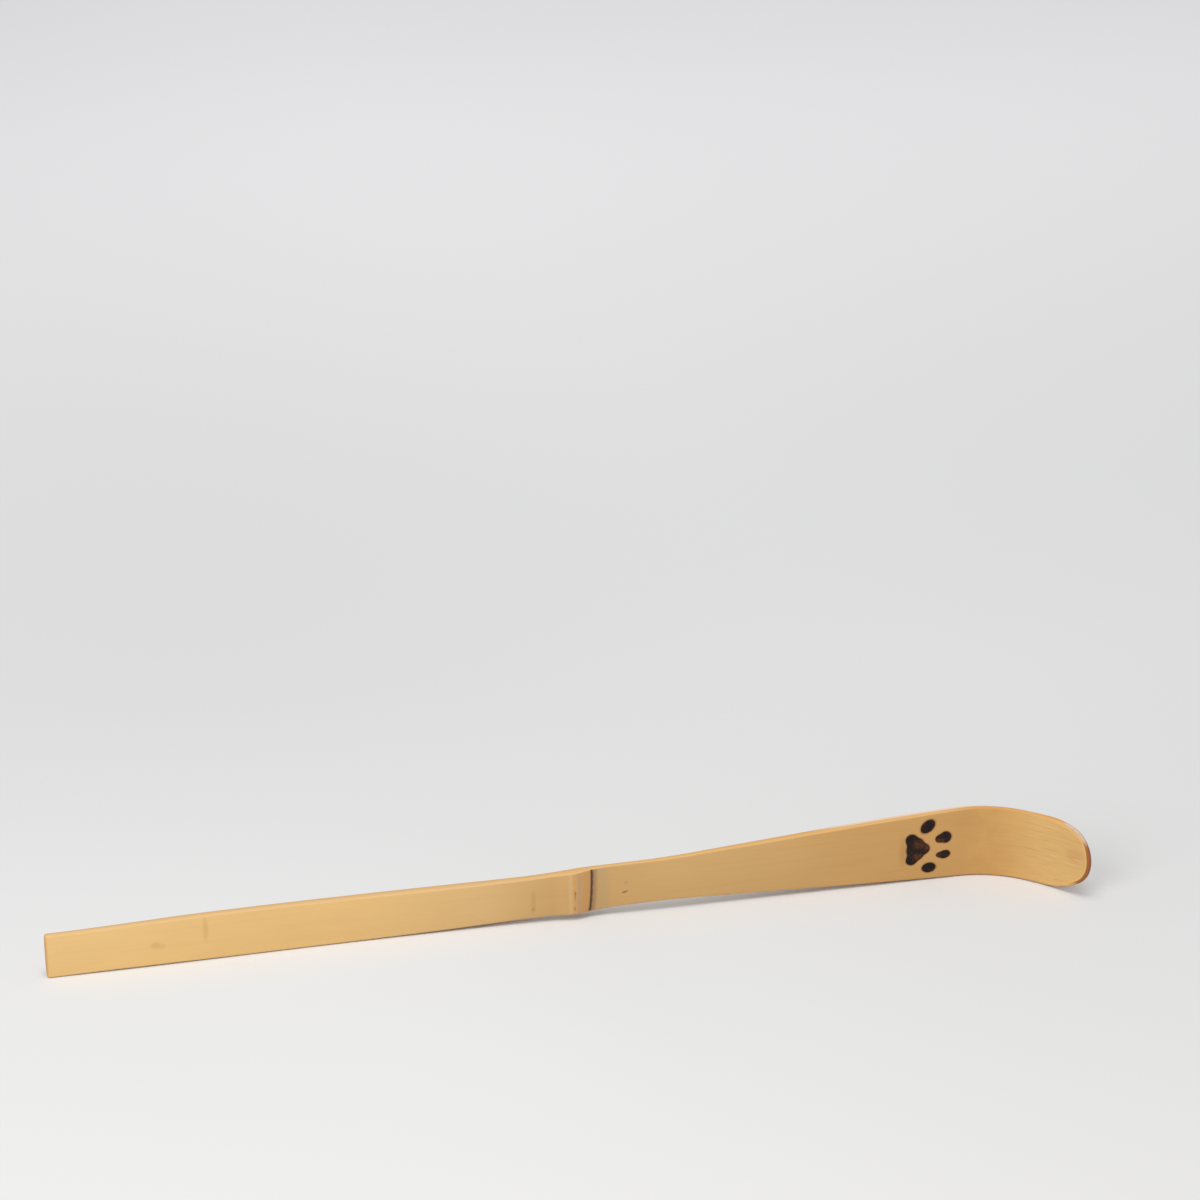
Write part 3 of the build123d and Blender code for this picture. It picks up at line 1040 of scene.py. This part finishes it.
def paper_floor():
    """A wide sheet that is flat apart from a slight swell under the handle."""
    bm = bmesh.new()
    bmesh.ops.create_grid(bm, x_segments=SHEET_CELLS, y_segments=SHEET_CELLS, size=SHEET_MIDDLE)
    for vert in bm.verts:
        vert.co.z = FLOOR_LEVEL + floor_rise(vert.co.x, vert.co.y)
    rim = [edge for edge in bm.edges if edge.is_boundary]
    border = bmesh.ops.extrude_edge_only(bm, edges=rim)["geom"]
    outer = [item for item in border if isinstance(item, bmesh.types.BMVert)]
    stretch = SHEET_EDGE / SHEET_MIDDLE
    bmesh.ops.scale(bm, verts=outer, vec=(stretch, stretch, 1.0))
    # The faces agree first, and then all of them look up.
    bmesh.ops.recalc_face_normals(bm, faces=bm.faces)
    if sum(face.normal.z for face in bm.faces) < 0:
        bmesh.ops.reverse_faces(bm, faces=bm.faces)
    return smooth_mesh(bm, "floor")


def add_lamp(scene, name, power, place, target, size):
    """Adds a square soft lamp that looks at a target."""
    light = bpy.data.lights.new(name, "AREA")
    light.shape = "SQUARE"
    light.size = size
    light.energy = power
    lamp = bpy.data.objects.new(name, light)
    lamp.location = place
    lamp.rotation_euler = (Vector(target) - Vector(place)).to_track_quat("-Z", "Y").to_euler()
    scene.collection.objects.link(lamp)


def add_room_light(scene, strength):
    """Adds an even light from all round."""
    world = bpy.data.worlds.new("room")
    world.use_nodes = True
    sky = world.node_tree.nodes["Background"]
    sky.inputs["Color"].default_value = ROOM_TINT
    sky.inputs["Strength"].default_value = strength
    scene.world = world


def add_camera(scene, stage):
    """Adds the camera of the photograph, which looks down and to the right."""
    lens = bpy.data.cameras.new("camera")
    lens.sensor_width = SENSOR_WIDTH
    lens.lens = stage.lens
    lens.clip_start, lens.clip_end = NEAREST_VIEW, FARTHEST_VIEW
    camera = bpy.data.objects.new("camera", lens)
    camera.location = stage.camera_place
    camera.rotation_euler = (math.pi / 2 - stage.camera_pitch, 0.0, -stage.camera_turn)
    scene.collection.objects.link(camera)
    scene.camera = camera


class SCOOP_OT_stage(Operator):
    """Adds the pale floor, the soft lights and the camera of the photograph"""

    bl_idname = "scoop.stage"
    bl_label = "Stage"

    def execute(self, context):
        scene = context.scene
        stage = scene.scoop_stage
        floor = bpy.data.objects.new("floor", paper_floor())
        floor.data.materials.append(floor_material())
        scene.collection.objects.link(floor)
        add_room_light(scene, stage.sky)
        add_lamp(scene, "overhead_lamp", stage.overhead, *OVERHEAD_LAMP)
        add_lamp(scene, "front_lamp", stage.front, *FRONT_LAMP)
        add_camera(scene, stage)
        scene.view_settings.view_transform = "Standard"
        return {"FINISHED"}


class SCOOP_PT_panel(Panel):
    """Lists the scoop's operators and settings"""

    bl_idname = "SCOOP_PT_panel"
    bl_label = "Tea scoop"
    bl_space_type = "VIEW_3D"
    bl_region_type = "UI"
    bl_category = "Tea scoop"

    def draw(self, context):
        layout, scene = self.layout, context.scene
        for operator in (SCOOP_OT_strip, SCOOP_OT_stage):
            layout.operator(operator.bl_idname)
        for settings in (scene.scoop_shape, scene.scoop_finish, scene.scoop_stage):
            box = layout.box()
            for name in settings.__annotations__:
                box.prop(settings, name)


CLASSES = (ScoopShape, ScoopFinish, StageSettings, SCOOP_OT_strip, SCOOP_OT_stage, SCOOP_PT_panel)


def register():
    for item in CLASSES:
        bpy.utils.register_class(item)
    bpy.types.Scene.scoop_shape = PointerProperty(type=ScoopShape)
    bpy.types.Scene.scoop_finish = PointerProperty(type=ScoopFinish)
    bpy.types.Scene.scoop_stage = PointerProperty(type=StageSettings)


def unregister():
    del bpy.types.Scene.scoop_stage
    del bpy.types.Scene.scoop_finish
    del bpy.types.Scene.scoop_shape
    for item in reversed(CLASSES):
        bpy.utils.unregister_class(item)


def main():
    """Builds the scoop and its stage."""
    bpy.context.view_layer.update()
    register()
    bpy.ops.scoop.strip()
    bpy.ops.scoop.stage()


if __name__ == "__main__":
    main()
